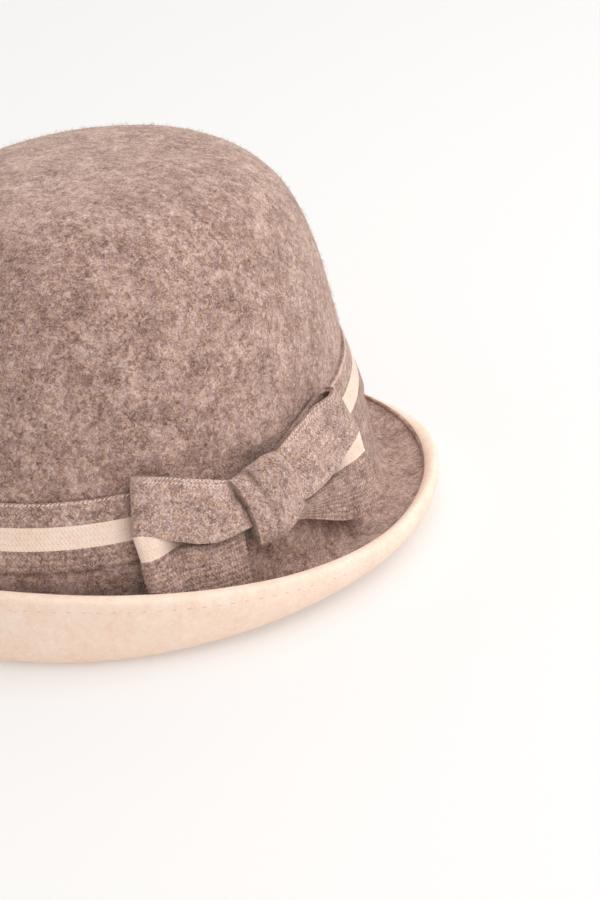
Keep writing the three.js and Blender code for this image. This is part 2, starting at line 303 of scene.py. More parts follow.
def crown_and_brim():
    piece = felt_copy("hat_body", "crown_and_brim")
    felt_relief(piece, CROWN_LUMPS)
    smooth(piece, FELT_SMOOTHING)
    dress(piece, brown_felt, "hat_body")
    return piece


def facing():
    piece = felt_copy("brim_facing", "facing")
    felt_relief(piece, FACING_LUMPS, floor=0)
    smooth(piece, FELT_SMOOTHING)
    dress(piece, cream_felt, "brim_facing")
    return piece


# Band

BAND_ROWS = 58
BAND_COLUMNS = 620
BAND_THICKNESS = 1.3 * MM
BAND_EDGE_DROP = 0.35 * MM
BAND_EDGE_WIDTH = 1.2 * MM
BAND_LUMP_SIZE = 11 * MM
BAND_LUMP_HEIGHT = 0.25 * MM
BAND_RIBS = 0.6

# Painted shadow of the bow on the band: above the knot, at an angle past the bow's middle, and beside the
# front loop, at a distance from the bow's middle
SHADOW_ABOVE_KNOT = {"dark": 0.75, "angle": 0.06, "spread": 0.28, "down": 0.45}
SHADOW_BESIDE_LOOP = {"dark": 0.4, "along": -52 * MM, "spread": 5 * MM}


def knitted_band():
    share = np.linspace(0, 1, BAND_ROWS)[:, None]
    angle = BOW_ANGLE + np.linspace(0, 2 * math.pi, BAND_COLUMNS, endpoint=False)[None, :]
    share, angle = np.broadcast_arrays(share, angle)
    edge = np.minimum(share, 1 - share) * BAND_DROP
    off = -BAND_THICKNESS / 2 - BAND_EDGE_DROP * (1 - softness(edge, 0, BAND_EDGE_WIDTH))
    points = band_point(share, angle, off)
    off = off + BAND_LUMP_HEIGHT * lumps(points, BAND_LUMP_SIZE)
    points = band_point(share, angle, off)
    steps = np.linalg.norm(np.roll(points, -1, axis=1) - points, axis=-1).mean(axis=0)
    run = np.concatenate([[0], np.cumsum(steps)[:-1]])[None, :]
    stripe = stripe_place(share, BAND_STRIPE)
    relief = ribs(share * BAND_DROP, run, BAND_RIBS * rib_strength(stripe))
    # Painted shadow of the bow: darker above the knot and beside the front loop
    past_bow = np.where(angle - BOW_ANGLE > math.pi, angle - 2 * math.pi, angle) - BOW_ANGLE
    above = bell(past_bow, SHADOW_ABOVE_KNOT["angle"], SHADOW_ABOVE_KNOT["spread"]) * bell(share, 0, SHADOW_ABOVE_KNOT["down"])
    beside = bell(past_bow * BOW_RADIUS, SHADOW_BESIDE_LOOP["along"], SHADOW_BESIDE_LOOP["spread"])
    shade = np.maximum(SHADOW_ABOVE_KNOT["dark"] * above, SHADOW_BESIDE_LOOP["dark"] * beside)
    marks = (run, share * BAND_DROP, stripe, shade)
    piece = cloth_shell("knitted_band", points, relief, marks, closed=True, thickness=BAND_THICKNESS)
    smooth(piece, BAND_SMOOTHING)
    dress(piece, striped_knit, "hat_band")
    return piece


# Bow loops. The ribbon goes from the knot out to the loop's end, round it and back. Its front is folded
# into an upper panel, whose lip hangs over a pleat, and a lower panel. A table row gives, at a share of the
# loop's length, the heights of the ribbon's upper edge, of the lip, of the lower panel's upper edge and of
# the ribbon's lower edge, and how far the lip stands off the lower panel, in millimetres. The ends and
# starts give the distance from the bow's middle at places across the ribbon. The slot says where along the
# loop its upper edge stands off, and how far. The pinch sinks the upper panel beside the knot.
LOOPS = (
    {
        "name": "bow_front_loop",
        "node": "bow_loop_front",
        "side": -1,
        "starts": ((0, 6.5), (0.5, 6.5), (0.62, 12), (1, 12.5)),
        "ends": ((0, 49.6), (0.06, 50.2), (0.415, 51.0), (0.585, 49.0), (1, 45.4)),
        "pinch": 1.6,
        "slot": (0.95, 0.04),
        "table": (
            # share, top, lip, lower, foot, pleat
            (0.00, 53.8, 37.0, 37.0, 17.5, 3.6),
            (0.22, 55.8, 36.9, 36.9, 17.5, 3.6),
            (0.41, 58.4, 36.8, 36.8, 17.5, 3.6),
            (0.56, 60.4, 38.3, 38.0, 17.5, 3.2),
            (0.66, 61.9, 39.9, 38.2, 17.5, 2.6),
            (0.86, 64.4, 43.0, 37.1, 17.5, 1.4),
            (1.00, 65.7, 45.2, 36.1, 17.5, 0.5),
        ),
    },
    {
        "name": "bow_back_loop",
        "node": "bow_loop_back",
        "side": 1,
        "starts": ((0, 6.5), (1, 6.5)),
        "ends": ((0, 43.5), (0.05, 46.4), (0.13, 49.5), (0.3, 53.6), (0.415, 55.0), (0.585, 55.0),
                 (0.86, 53.0), (0.96, 49.0), (1, 46.0)),
        "pinch": 0.0,
        "slot": (0.86, 3.0),
        "table": (
            (0.00, 56.7, 37.6, 37.6, 33.0, 3.4),
            (0.22, 59.4, 37.8, 37.8, 30.6, 3.4),
            (0.41, 61.9, 38.2, 38.0, 26.6, 2.8),
            (0.66, 64.6, 40.2, 37.2, 21.0, 1.8),
            (0.86, 66.4, 42.9, 36.9, 17.6, 1.0),
            (1.00, 67.2, 45.1, 37.3, 16.5, 0.5),
        ),
    },
)
UPPER_ROWS = 56
PLEAT_ROWS = 28
LOWER_ROWS = 58
LOOP_FRONT_COLUMNS = 74
LOOP_BEND_COLUMNS = 12
LOOP_BACK_OFF = 1.0 * MM
LAYER_STEP = 1.7 * MM
END_OPENING = 2.6 * MM
UPPER_BULGE = 1.6 * MM
LOWER_BULGE = 1.2 * MM
BROWN_ROUND_LIP = 1.4 * MM
LIP_ROUNDING = 4
OPEN_PLEAT = (0.8 * MM, 2.6 * MM)
PLEAT_ROOM = 0.5 * MM
OPENING_SPAN = (0.72, 0.98)
LEAN_POWER = 1.3
BULGE_START = 0.35
PRESSED_AT_KNOT = 0.55
PRESSED_LENGTH = 0.36
SLOT_LENGTH = 0.15
SLOT_WIDTH = 0.4
PINCH_ACROSS = 0.3
PINCH_ALONG = 0.04
PINCH_SIZE = 0.14

# Painted shade: in the pocket beside the knot, in the pleat, under the lip, and on the ribbon's back
POCKET_SHADE = 0.95
POCKET_ALONG = 0.03
POCKET_SIZE = (0.12, 0.1)
PLEAT_SHADING = 6
UNDER_LIP_SHADE = 0.85
UNDER_LIP_REACH = 1.6 * MM
BACK_SHADE = 0.3
BACK_SHADE_AT_KNOT = 0.65
BACK_SHADE_LENGTH = 0.3

# Wrinkles of the front side: pairs of size and height
WRINKLES = ((13 * MM, 0.5 * MM), (5 * MM, 0.18 * MM))


def rounded_rows(values, passes):
    """Rounds a profile across the ribbon, keeping its two edges."""
    for _ in range(passes):
        values[1:-1] = (values[:-2] + 2 * values[1:-1] + values[2:]) / 4
    return values


def loop_profile(table, slot, pinch, t):
    """A loop's front at shares t of its length: place across the ribbon, height, distance off, painted
    shade.
    """
    rows = np.array(table)
    top, lip, lower, foot, pleat = (np.interp(t, rows[:, 0], rows[:, i]) * MM for i in range(1, 6))
    closed = softness(pleat, *OPEN_PLEAT)
    lip_share = RIBBON_STRIPE[0] - closed * BROWN_ROUND_LIP / RIBBON_WIDTH
    lower_share = RIBBON_STRIPE[1] + closed * BROWN_ROUND_LIP / RIBBON_WIDTH
    spare = (lower_share - lip_share) * RIBBON_WIDTH - (lip - lower)
    hidden = np.maximum(spare / 2 - PLEAT_ROOM, 0)
    path = 2 * hidden + lip - lower
    a = np.linspace(0, 1, UPPER_ROWS)[:, None]
    b = np.linspace(0, 1, PLEAT_ROWS + 2)[1:-1, None]
    d = np.linspace(0, 1, LOWER_ROWS)[:, None]
    pleat_across = lip_share + b * (lower_share - lip_share)
    across = np.concatenate([a * lip_share, pleat_across, lower_share + d * (1 - lower_share)])
    rising = np.minimum(b * path, hidden)
    falling = np.maximum(b * path - hidden, 0)
    up = np.concatenate([top + (lip - top) * a, lip + rising - falling, lower + (foot - lower) * d])
    pressed = PRESSED_AT_KNOT + (1 - PRESSED_AT_KNOT) * softness(t, 0.0, PRESSED_LENGTH)
    pleat = pleat * pressed
    ground = LOOP_BACK_OFF + LAYER_STEP + END_OPENING * softness(t, *OPENING_SPAN)
    upper_off = ground + pleat * a**LEAN_POWER
    upper_off = upper_off + UPPER_BULGE * np.sin(math.pi * a**0.85) * pressed * np.sin(math.pi * t**0.7)
    upper_off = upper_off + slot[1] * MM * bell(t, slot[0], SLOT_LENGTH) * bell(a, 0, SLOT_WIDTH)
    pinched = bell(a, PINCH_ACROSS, PINCH_SIZE) * bell(t, PINCH_ALONG, PINCH_SIZE)
    upper_off = upper_off - pinch * MM * pinched
    pleat_off = ground + pleat * (1 - b)
    lower_off = ground + LOWER_BULGE * np.sin(math.pi * d**0.8) * softness(t, 0.0, BULGE_START)
    off = np.concatenate([upper_off, pleat_off, lower_off])
    # Painted shade under the lip, in the closed pleat and in the pocket beside the knot
    under_lip = np.exp(-d * (lower - foot) / UNDER_LIP_REACH) * closed
    pocket = bell(a, PINCH_ACROSS, POCKET_SIZE[0]) * bell(t, POCKET_ALONG, POCKET_SIZE[1]) * (pinch > 0)
    in_pleat = closed * np.minimum(PLEAT_SHADING * b, 1)
    shade = np.concatenate([POCKET_SHADE * pocket, in_pleat, UNDER_LIP_SHADE * under_lip])
    return across, rounded_rows(up, LIP_ROUNDING), rounded_rows(off, LIP_ROUNDING), shade


def bow_loop(loop):
    side = loop["side"]
    t = np.linspace(0, 1, LOOP_FRONT_COLUMNS)[None, :]
    across, up, off, shade = loop_profile(loop["table"], loop["slot"], loop["pinch"], t)
    starts, ends = (np.array(loop[key]) for key in ("starts", "ends"))
    start = np.interp(across, starts[:, 0], starts[:, 1]) * MM
    end = np.interp(across, ends[:, 0], ends[:, 1]) * MM
    along = start + (end - start) * t
    turn = np.linspace(0, math.pi, LOOP_BEND_COLUMNS + 2)[None, 1:-1]
    last_off = off[:, -1:]
    reach = (last_off - LOOP_BACK_OFF) / 2
    bend_along = along[:, -1:] + reach * np.sin(turn)
    bend_off = LOOP_BACK_OFF + reach * (1 + np.cos(turn))
    rows = np.array(loop["table"])
    back_t = t[:, ::-1]
    top, foot = (np.interp(back_t, rows[:, 0], rows[:, i]) * MM for i in (1, 4))
    fallen = (up[:1, -1:] - up[:, -1:]) / (up[:1, -1:] - up[-1:, -1:])
    back_up = top + (foot - top) * fallen
    joined = [
        np.concatenate([along, bend_along, along[:, ::-1]], axis=1),
        np.concatenate([up, np.broadcast_to(up[:, -1:], bend_along.shape), back_up], axis=1),
        np.concatenate([off, bend_off, np.full_like(along, LOOP_BACK_OFF)], axis=1),
    ]
    wide = joined[0].shape
    bend_across = np.broadcast_to(across[:, -1:], bend_along.shape)
    across = np.concatenate([across, bend_across, across[:, ::-1]], axis=1)
    # Painted shade on the ribbon's back inside the loop, deepest at the knot
    behind = BACK_SHADE + BACK_SHADE_AT_KNOT * bell(back_t, 0, BACK_SHADE_LENGTH)
    behind = np.broadcast_to(behind, along.shape)
    shade = np.concatenate([shade, np.zeros_like(bend_along), behind], axis=1)
    points = bow_point(side * joined[0], joined[1], joined[2])
    wrinkles = sum(height * lumps(points, size) for size, height in WRINKLES)
    front_side = np.arange(wide[1])[None, :] < LOOP_FRONT_COLUMNS
    points = bow_point(side * joined[0], joined[1], joined[2] + wrinkles * front_side)
    steps = np.linalg.norm(np.diff(points, axis=1), axis=-1).mean(axis=0)
    run = np.concatenate([[0], np.cumsum(steps)])[None, :]
    stripe = stripe_place(across, RIBBON_STRIPE)
    relief = ribs(across * RIBBON_WIDTH, run, rib_strength(stripe))
    marks = [np.broadcast_to(mark, wide) for mark in (run, across * RIBBON_WIDTH, stripe, shade)]
    if side < 0:
        points, relief = points[:, ::-1], relief[:, ::-1]
        marks = [mark[:, ::-1] for mark in marks]
    piece = cloth_shell(loop["name"], points, relief, marks)
    smooth(piece, RIBBON_SMOOTHING)
    dress(piece, striped_knit, loop["node"])
    return piece


# Knot: the ribbon wraps over the middle of the bow. A row gives, at a share across the wrap, where the
# wrap's upper end, middle and lower end are, as distance along the bow and height in millimetres.
KNOT_COLUMNS = (
    (0.0, (-14.8, 55.2), (-10.2, 43.0), (-8.2, 30.2)),
    (0.33, (-6.4, 57.6), (-3.2, 43.4), (-3.0, 29.2)),
    (0.67, (1.6, 59.2), (5.0, 43.6), (1.8, 29.8)),
    (1.0, (7.2, 58.6), (13.0, 42.6), (7.6, 32.0)),
)
KNOT_ROWS = 110
KNOT_ACROSS = 64
KNOT_MIDDLE_OFF = 4.8 * MM
KNOT_FRONT = 7.0 * MM
KNOT_BACK = 3.6 * MM
KNOT_ROUNDNESS = 2.5
KNOT_WIDTH = 22 * MM
KNOT_TURN = 12 * MM
KNOT_EDGE_DROP = 0.58
KNOT_EDGE_POWER = 2.4
KNOT_CREASE_DEPTH = 1.3 * MM
KNOT_CREASE_SHADE = 0.55
KNOT_CREASE_PLACE = 0.24
KNOT_CREASE_DRIFT = 0.1
KNOT_CREASE_WIDTH = 0.06
KNOT_CREASE_FADE = 0.75
KNOT_SWELL = 0.5 * MM
KNOT_SWELL_PLACE = 0.55
KNOT_SWELL_WIDTH = 0.16
KNOT_RIBS = 0.8
KNOT_LUMP_SIZE = 7 * MM
KNOT_LUMP_HEIGHT = 0.35 * MM

# Sizes of the rings that close the knot's open sides, from the middle outwards, and their painted shade
KNOT_CAPS = (0.3, 0.62, 0.88)
KNOT_CAP_SHADE = (0.9, 0.7, 0.4)
KNOT_EDGE_SHADE = 0.3
KNOT_EDGE_SHARE = 0.98


def through(first, middle, last, t):
    """The curve through three values at 0, a half and 1."""
    return first * (1 - t) * (1 - 2 * t) + middle * 4 * t * (1 - t) + last * t * (2 * t - 1)


def bow_knot():
    share = np.linspace(0, 1, KNOT_ACROSS)[None, :]
    shares = [row[0] for row in KNOT_COLUMNS]
    marks = [
        [np.interp(share, shares, [row[i][axis] for row in KNOT_COLUMNS]) * MM for i in (1, 2, 3)]
        for axis in (0, 1)
    ]
    turn = np.linspace(0, 2 * math.pi, KNOT_ROWS, endpoint=False)[:, None]
    height = np.sign(np.cos(turn)) * np.abs(np.cos(turn)) ** (2 / KNOT_ROUNDNESS)
    depth = np.sign(np.sin(turn)) * np.abs(np.sin(turn)) ** (2 / KNOT_ROUNDNESS)
    fall = (1 - height) / 2
    along = through(*marks[0], fall)
    up = through(*marks[1], fall)
    flat = 1 - KNOT_EDGE_DROP * np.abs(2 * share - 1) ** KNOT_EDGE_POWER
    crease = bell(share, KNOT_CREASE_PLACE + KNOT_CREASE_DRIFT * fall, KNOT_CREASE_WIDTH)
    crease = crease * (1 - KNOT_CREASE_FADE * fall) * (depth > 0)
    swell = KNOT_SWELL * bell(share, KNOT_SWELL_PLACE, KNOT_SWELL_WIDTH)
    front = KNOT_FRONT * flat - KNOT_CREASE_DEPTH * crease + swell
    off = KNOT_MIDDLE_OFF + np.where(depth > 0, front * depth, KNOT_BACK * depth)
    points = bow_point(along, up, off)
    normals = -np.swapaxes(grid_normals(np.swapaxes(points, 0, 1), True), 0, 1)
    relief = ribs(share * KNOT_WIDTH, turn * KNOT_TURN, KNOT_RIBS)
    relief = relief + KNOT_LUMP_HEIGHT * lumps(points, KNOT_LUMP_SIZE)
    rings = np.swapaxes(points + normals * relief[..., None], 0, 1)
    caps = []
    for ring, sizes in ((rings[0], KNOT_CAPS), (rings[-1], KNOT_CAPS[::-1])):
        centre = ring.mean(axis=0)
        caps.append(np.array([centre + (ring - centre) * size for size in sizes]))
    grid = np.concatenate([caps[0], rings, caps[1]])
    faces = grid_faces(len(grid), KNOT_ROWS, 0, True)
    vertices = np.concatenate([grid.reshape(-1, 3), [grid[0].mean(axis=0), grid[-1].mean(axis=0)]])
    first, last = len(vertices) - 2, len(vertices) - 1
    tail = (len(grid) - 1) * KNOT_ROWS
    for j in range(KNOT_ROWS):
        k = (j + 1) % KNOT_ROWS
        faces.append((first, j, k))
        faces.append((last, tail + k, tail + j))
    piece = new_object("bow_knot_wrap", vertices, faces)
    only(piece)
    bpy.ops.object.mode_set(mode="EDIT")
    bpy.ops.mesh.select_all(action="SELECT")
    bpy.ops.mesh.normals_make_consistent(inside=False)
    bpy.ops.object.mode_set(mode="OBJECT")
    on_cap = np.zeros(len(KNOT_CAPS))
    across = np.concatenate([on_cap, share.ravel(), on_cap + 1])
    run = np.tile(turn.ravel() * KNOT_TURN, len(grid))
    across = np.repeat(across, KNOT_ROWS) * KNOT_WIDTH
    run, across = (np.concatenate([values, [0, 0]]) for values in (run, across))
    # Painted shade on the caps, at the wrap's edges and along its crease; the caps' centres take it in full
    edge_shade = KNOT_EDGE_SHADE * (np.abs(2 * share.ravel() - 1) > KNOT_EDGE_SHARE)
    ring_shade = np.concatenate([KNOT_CAP_SHADE, edge_shade, KNOT_CAP_SHADE[::-1]])
    plain = np.zeros((len(KNOT_CAPS), KNOT_ROWS))
    crease_shade = np.concatenate([plain, KNOT_CREASE_SHADE * crease.T, plain])
    shade = np.maximum(crease_shade, ring_shade[:, None]).ravel()
    upper_brown = np.full(len(run), 0.5)
    mark_ribbon(piece, run, across, upper_brown, np.concatenate([shade, [1, 1]]))
    smooth(piece, RIBBON_SMOOTHING)
    dress(piece, striped_knit, "bow_knot")
    return piece


# Rim: the felt's edge shows as a narrow brown roll inside the pale lip

ROLL_RADIUS = 0.8 * MM
ROLL_SIDES = 8
ROLL_COLUMNS = 260


def side_to_end(values, angle, power):
    """The side's value, passing into the front's and the back's value."""
    front = np.cos(angle)
    return values[1] + (np.where(front > 0, values[0], values[2]) - values[1]) * np.abs(front) ** power


def rim_point(angle):
    step = math.radians(2)
    foot = level_point(BAND_FOOT_REACH, BAND_FOOT_HEIGHT, angle)
    ahead = level_point(BAND_FOOT_REACH, BAND_FOOT_HEIGHT, angle + step) - foot
    outward = unit(np.stack([ahead[..., 1], -ahead[..., 0], np.zeros_like(angle)], -1))
    foot[..., 2] = 0
    place = foot + outward * side_to_end(RIM_OUT, angle, RIM_OUT_POWER)[..., None]
    place[..., 2] = side_to_end(RIM_UP, angle, RIM_UP_POWER)
    return place, outward


def felt_roll():
    angle = np.linspace(0, 2 * math.pi, ROLL_COLUMNS, endpoint=False)
    place, outward = rim_point(angle)
    turn = np.linspace(0, 2 * math.pi, ROLL_SIDES, endpoint=False)[:, None, None]
    grid = place + ROLL_RADIUS * (outward * np.cos(turn) + np.array([0, 0, 1]) * np.sin(turn))
    grid = np.concatenate([grid, grid[:1]])
    piece = new_object("felt_roll", grid, grid_faces(len(grid), len(angle), 0, True))
    only(piece)
    bpy.ops.object.mode_set(mode="EDIT")
    bpy.ops.mesh.select_all(action="SELECT")
    bpy.ops.mesh.remove_doubles(threshold=WELD_DISTANCE)
    bpy.ops.mesh.normals_make_consistent(inside=False)
    bpy.ops.object.mode_set(mode="OBJECT")
    smooth(piece, FELT_SMOOTHING)
    dress(piece, brown_felt, None)
    return piece


# Stitches and loose fibres

STITCH_SIDES = 6
STITCH_RINGS = ((-0.34, 0.36), (0, 0.5), (0.34, 0.36))
STITCH_SMOOTHING = 80


def stitch_shape():
    """A rounded stitch one unit long and wide, with its poles at its ends."""
    sides = STITCH_SIDES
    vertices = [(-0.5, 0, 0)]
    for run, size in STITCH_RINGS:
        for i in range(sides):
            turn = 2 * math.pi * i / sides
            vertices.append((run, size * math.cos(turn), size * math.sin(turn)))
    vertices.append((0.5, 0, 0))
    faces = []
    for i in range(sides):
        k = (i + 1) % sides
        faces.append((0, 1 + k, 1 + i))
        for ring in (1, 1 + sides):
            faces.append((ring + i, ring + k, ring + sides + k, ring + sides + i))
        faces.append((1 + 2 * sides + i, 1 + 2 * sides + k, 1 + 3 * sides))
    return np.array(vertices), faces


def sewn_row(name, places, runs, normals, size, slant, material):
    """Stitches at these places: size is length, width and height, slant turns them in the cloth."""
    shape, faces = stitch_shape()
    runs = unit(runs - normals * (runs * normals).sum(-1, keepdims=True))
    sides = np.cross(normals, runs)
    slant = np.broadcast_to(slant, len(places))[:, None]
    lengthwise = runs * np.cos(slant) + sides * np.sin(slant)
    widthwise = np.cross(normals, lengthwise)
    axes = np.stack([lengthwise * size[0], widthwise * size[1], normals * size[2]], axis=1)
    vertices = places[:, None, :] + np.einsum("vk,nkj->nvj", shape, axes)
    count = len(shape)
    all_faces = [tuple(n * count + i for i in face) for n in range(len(places)) for face in faces]
    piece = new_object(name, vertices, all_faces)
    smooth(piece, STITCH_SMOOTHING)
    dress(piece, material, None)
    return piece


def evenly(points, pitch):
    """Places one pitch apart along a line of points, with their directions."""
    steps = np.linalg.norm(np.diff(points, axis=0), axis=1)
    run = np.concatenate([[0], np.cumsum(steps)])
    places = np.arange(pitch / 2, run[-1], pitch)
    spots = np.stack([np.interp(places, run, points[:, i]) for i in range(3)], -1)
    ahead = np.stack([np.interp(places + pitch / 4, run, points[:, i]) for i in range(3)], -1)
    return spots, ahead - spots


def on_surface(carrier, places, depth):
    """The nearest places on a piece, sunk by this depth, and the piece's normals there."""
    found = [carrier.closest_point_on_mesh(Vector(place)) for place in places]
    spots = np.array([hit[1] for hit in found])
    normals = np.array([hit[2] for hit in found])
    return spots - normals * depth, normals


EDGE_STITCH = (1.7 * MM, 0.7 * MM, 0.5 * MM)
EDGE_STITCH_SINK = 0.1 * MM
EDGE_STITCH_SLANTS = (0.45, 0.75)
BAND_STITCH_PITCH = 1.7 * MM
LOOP_STITCH_PITCH = 1.6 * MM
BAND_STITCH_SHARE = 0.028
BAND_LINE_POINTS = 500
STITCHES_FROM_BOW = 0.42
LOOP_STITCH_SPAN = (0.22, 0.97)
LOOP_STITCH_ROWS = (1, 5)
LOOP_LINE_POINTS = 80


def edge_stitches(band, loops):
    """Pale chain stitches along the upper edges of the band and of both loops."""
    lines = []
    past_bow = np.linspace(STITCHES_FROM_BOW, 2 * math.pi - STITCHES_FROM_BOW, BAND_LINE_POINTS)
    share = np.full(BAND_LINE_POINTS, BAND_STITCH_SHARE)
    line = band_point(share, BOW_ANGLE + past_bow, np.zeros(BAND_LINE_POINTS))
    lines.append((band, line, BAND_STITCH_PITCH))
    for loop, piece in zip(LOOPS, loops):
        t = np.linspace(*LOOP_STITCH_SPAN, LOOP_LINE_POINTS)[None, :]
        _, up, off, _ = loop_profile(loop["table"], loop["slot"], 0, t)
        start, end = loop["starts"][0][1] * MM, loop["ends"][0][1] * MM
        along = start + (end - start) * t[0]
        for row in LOOP_STITCH_ROWS:
            front = bow_point(loop["side"] * along, up[row], off[row] + RIBBON_THICKNESS / 2)
            lines.append((piece, front, LOOP_STITCH_PITCH))
    places, runs, normals, slants = [], [], [], []
    for carrier, line, pitch in lines:
        spots, direction = evenly(line, pitch)
        spots, normal = on_surface(carrier, spots, EDGE_STITCH_SINK)
        places.append(spots)
        runs.append(direction)
        normals.append(normal)
        slants.append(np.resize(EDGE_STITCH_SLANTS, len(spots)))
    return sewn_row(
        "edge_stitches", np.concatenate(places), np.concatenate(runs), np.concatenate(normals),
        EDGE_STITCH, np.concatenate(slants), pale_yarn,
    )


FACING_STITCH_PITCH = 5.4 * MM
FACING_STITCH_DROP = 5.0 * MM
FACING_STITCH = (2.5 * MM, 0.5 * MM, 0.42 * MM)
FACING_STITCH_SINK = 0.12 * MM
FACING_STITCH_SLANT = 0.06
FACING_LINE_POINTS = 360
OUTSIDE_REACH = 200 * MM


def facing_stitches(carrier):
    """A row of short tone-on-tone stitches round the outside of the facing, under its rim."""
    bpy.context.view_layer.update()
    places = []
    for angle in np.linspace(0, 2 * math.pi, FACING_LINE_POINTS, endpoint=False):
        height = side_to_end(RIM_UP, angle, RIM_UP_POWER) + LIP_ABOVE_FELT - FACING_STITCH_DROP
        outward = Vector((math.sin(angle), -math.cos(angle), 0))
        origin = Vector((0, HAT_MIDDLE_Y, height)) + outward * OUTSIDE_REACH
        hit, place, _, _ = carrier.ray_cast(origin, -outward)
        if hit:
            places.append(place)
    places = np.array(places + places[:1])
    spots, runs = evenly(places, FACING_STITCH_PITCH)
    spots, normals = on_surface(carrier, spots, FACING_STITCH_SINK)
    return sewn_row(
        "facing_stitches", spots, runs, normals, FACING_STITCH, FACING_STITCH_SLANT, tan_yarn
    )


def spread_over(pieces, count, draw, keep):
    """Random places on those faces of these pieces that are kept, with the surface's normals there."""
    corners = []
    for piece in pieces:
        piece.data.calc_loop_triangles()
        points, _ = mesh_points(piece)
        index = np.empty(len(piece.data.loop_triangles) * 3, dtype=np.int32)
        piece.data.loop_triangles.foreach_get("vertices", index)
        corners.append(points[index.reshape(-1, 3)])
    corners = np.concatenate(corners)
    sides = [corners[:, i] - corners[:, 0] for i in (1, 2)]
    normals = np.cross(*sides)
    area = np.linalg.norm(normals, axis=1)
    normals = normals / np.maximum(area, 1e-18)[:, None]
    area = area * keep(corners.mean(axis=1), normals)
    chosen = np.searchsorted(np.cumsum(area), draw.random(count) * area.sum())
    a, b = draw.random((2, count, 1))
    over = a + b > 1
    a, b = np.where(over, 1 - a, a), np.where(over, 1 - b, b)
    return corners[chosen, 0] + sides[0][chosen] * a + sides[1][chosen] * b, normals[chosen]


FUZZ_FLOOR = 3 * MM
HOLLOW_MIDDLE_HEIGHT = 40 * MM
LOOKS_UP = 0.2


def outside_hat(places, normals):
    """Whether a face looks out of the hat, not into the hollow for the head, and is clear of the floor."""
    hollow = np.array([0, HAT_MIDDLE_Y, HOLLOW_MIDDLE_HEIGHT])
    outward = ((normals * (places - hollow)).sum(-1) > 0) | (normals[:, 2] > LOOKS_UP)
    return outward & (places[:, 2] > FUZZ_FLOOR)


FIBRE_TILT = (0.5, 1.35)
FIBRE_LENGTHS = (0.5, 1.3)
FIBRE_CURL = 0.3
FIBRE_ROOT = 0.15 * MM
FIBRE_MIDDLE = 0.55
FIBRE_TAPER = 0.8


def loose_fibres(name, carriers, count, length, width, seed, material):
    """Short fibres that stand off the cloth, each one a closed needle of seven points rooted in it."""
    draw = np.random.default_rng(seed)
    roots, normals = spread_over(carriers, count, draw, outside_hat)
    around = draw.normal(size=(count, 3))
    flat = unit(around - normals * (around * normals).sum(-1, keepdims=True))
    tilt = draw.uniform(*FIBRE_TILT, (count, 1))
    lengths = length * draw.uniform(*FIBRE_LENGTHS, (count, 1))
    ahead = normals * np.cos(tilt) + flat * np.sin(tilt)
    curl = np.cross(ahead, unit(draw.normal(size=(count, 3)))) * lengths * FIBRE_CURL
    middle = roots + ahead * lengths * FIBRE_MIDDLE
    tip = roots + ahead * lengths + curl
    base = roots - normals * FIBRE_ROOT
    across = unit(np.cross(ahead, flat + 1e-3))
    third = np.cross(ahead, across)
    points = []
    for centre, size in ((base, 1.0), (middle, FIBRE_TAPER)):
        for i in range(3):
            turn = 2 * math.pi * i / 3
            points.append(centre + (across * math.cos(turn) + third * math.sin(turn)) * width * size)
    points.append(tip)
    vertices = np.stack(points, axis=1)
    faces = []
    for n in range(count):
        a = 7 * n
        faces.append((a, a + 2, a + 1))
        for i in range(3):
            k = (i + 1) % 3
            faces.append((a + i, a + k, a + 3 + k, a + 3 + i))
            faces.append((a + 3 + i, a + 3 + k, a + 6))
    piece = new_object(name, vertices, faces)
    dress(piece, material, None)
    return piece


# Materials

def add_node(tree, kind, settings=None, **inputs):
    """A shader node; an input is a value, or the output that it is linked to."""
    node = tree.nodes.new("ShaderNode" + kind)
    for name, value in (settings or {}).items():
        setattr(node, name, value)
    for name, value in inputs.items():
        socket = node.inputs[name.replace("_", " ")]
        if isinstance(value, bpy.types.NodeSocket):
            tree.links.new(value, socket)
        else:
            socket.default_value = value
    return node


ROUGHNESS = 0.95
SPECULAR = 0.15
SHEEN_ROUGHNESS = 0.55


def new_material(name):
    material = bpy.data.materials.new(name)
    material.use_nodes = True
    tree = material.node_tree
    shader = tree.nodes["Principled BSDF"]
    shader.inputs["Roughness"].default_value = ROUGHNESS
    shader.inputs["Specular IOR Level"].default_value = SPECULAR
    shader.inputs["Sheen Roughness"].default_value = SHEEN_ROUGHNESS
    return material, tree, shader


def colour(red, green, blue):
    """A colour from its 0 to 255 display values."""
    linear = []
    for value in (red, green, blue):
        value /= 255
        linear.append(value / 12.92 if value <= 0.04045 else ((value + 0.055) / 1.055) ** 2.4)
    return (*linear, 1)


def maths(tree, operation, first, second=0.0):
    node = tree.nodes.new("ShaderNodeMath")
    node.operation = operation
    for socket, value in zip(node.inputs, (first, second)):
        if isinstance(value, bpy.types.NodeSocket):
            tree.links.new(value, socket)
        else:
            socket.default_value = value
    return node.outputs[0]


def blended(tree, factor, first, second, way="MIX"):
    """Two colours mixed; each is a colour or the output that it is linked to."""
    node = tree.nodes.new("ShaderNodeMix")
    node.data_type = "RGBA"
    node.blend_type = way
    for socket, value in zip((node.inputs[0], node.inputs[6], node.inputs[7]), (factor, first, second)):
        if isinstance(value, bpy.types.NodeSocket):
            tree.links.new(value, socket)
        else:
            socket.default_value = value
    return node.outputs[2]


def ramp(tree, factor, *stops):
    node = add_node(tree, "ValToRGB", Fac=factor)
    elements = node.color_ramp.elements
    while len(elements) < len(stops):
        elements.new(0.5)
    for element, (place, tone) in zip(elements, stops):
        element.position = place
        element.color = tone
    return node.outputs["Color"]


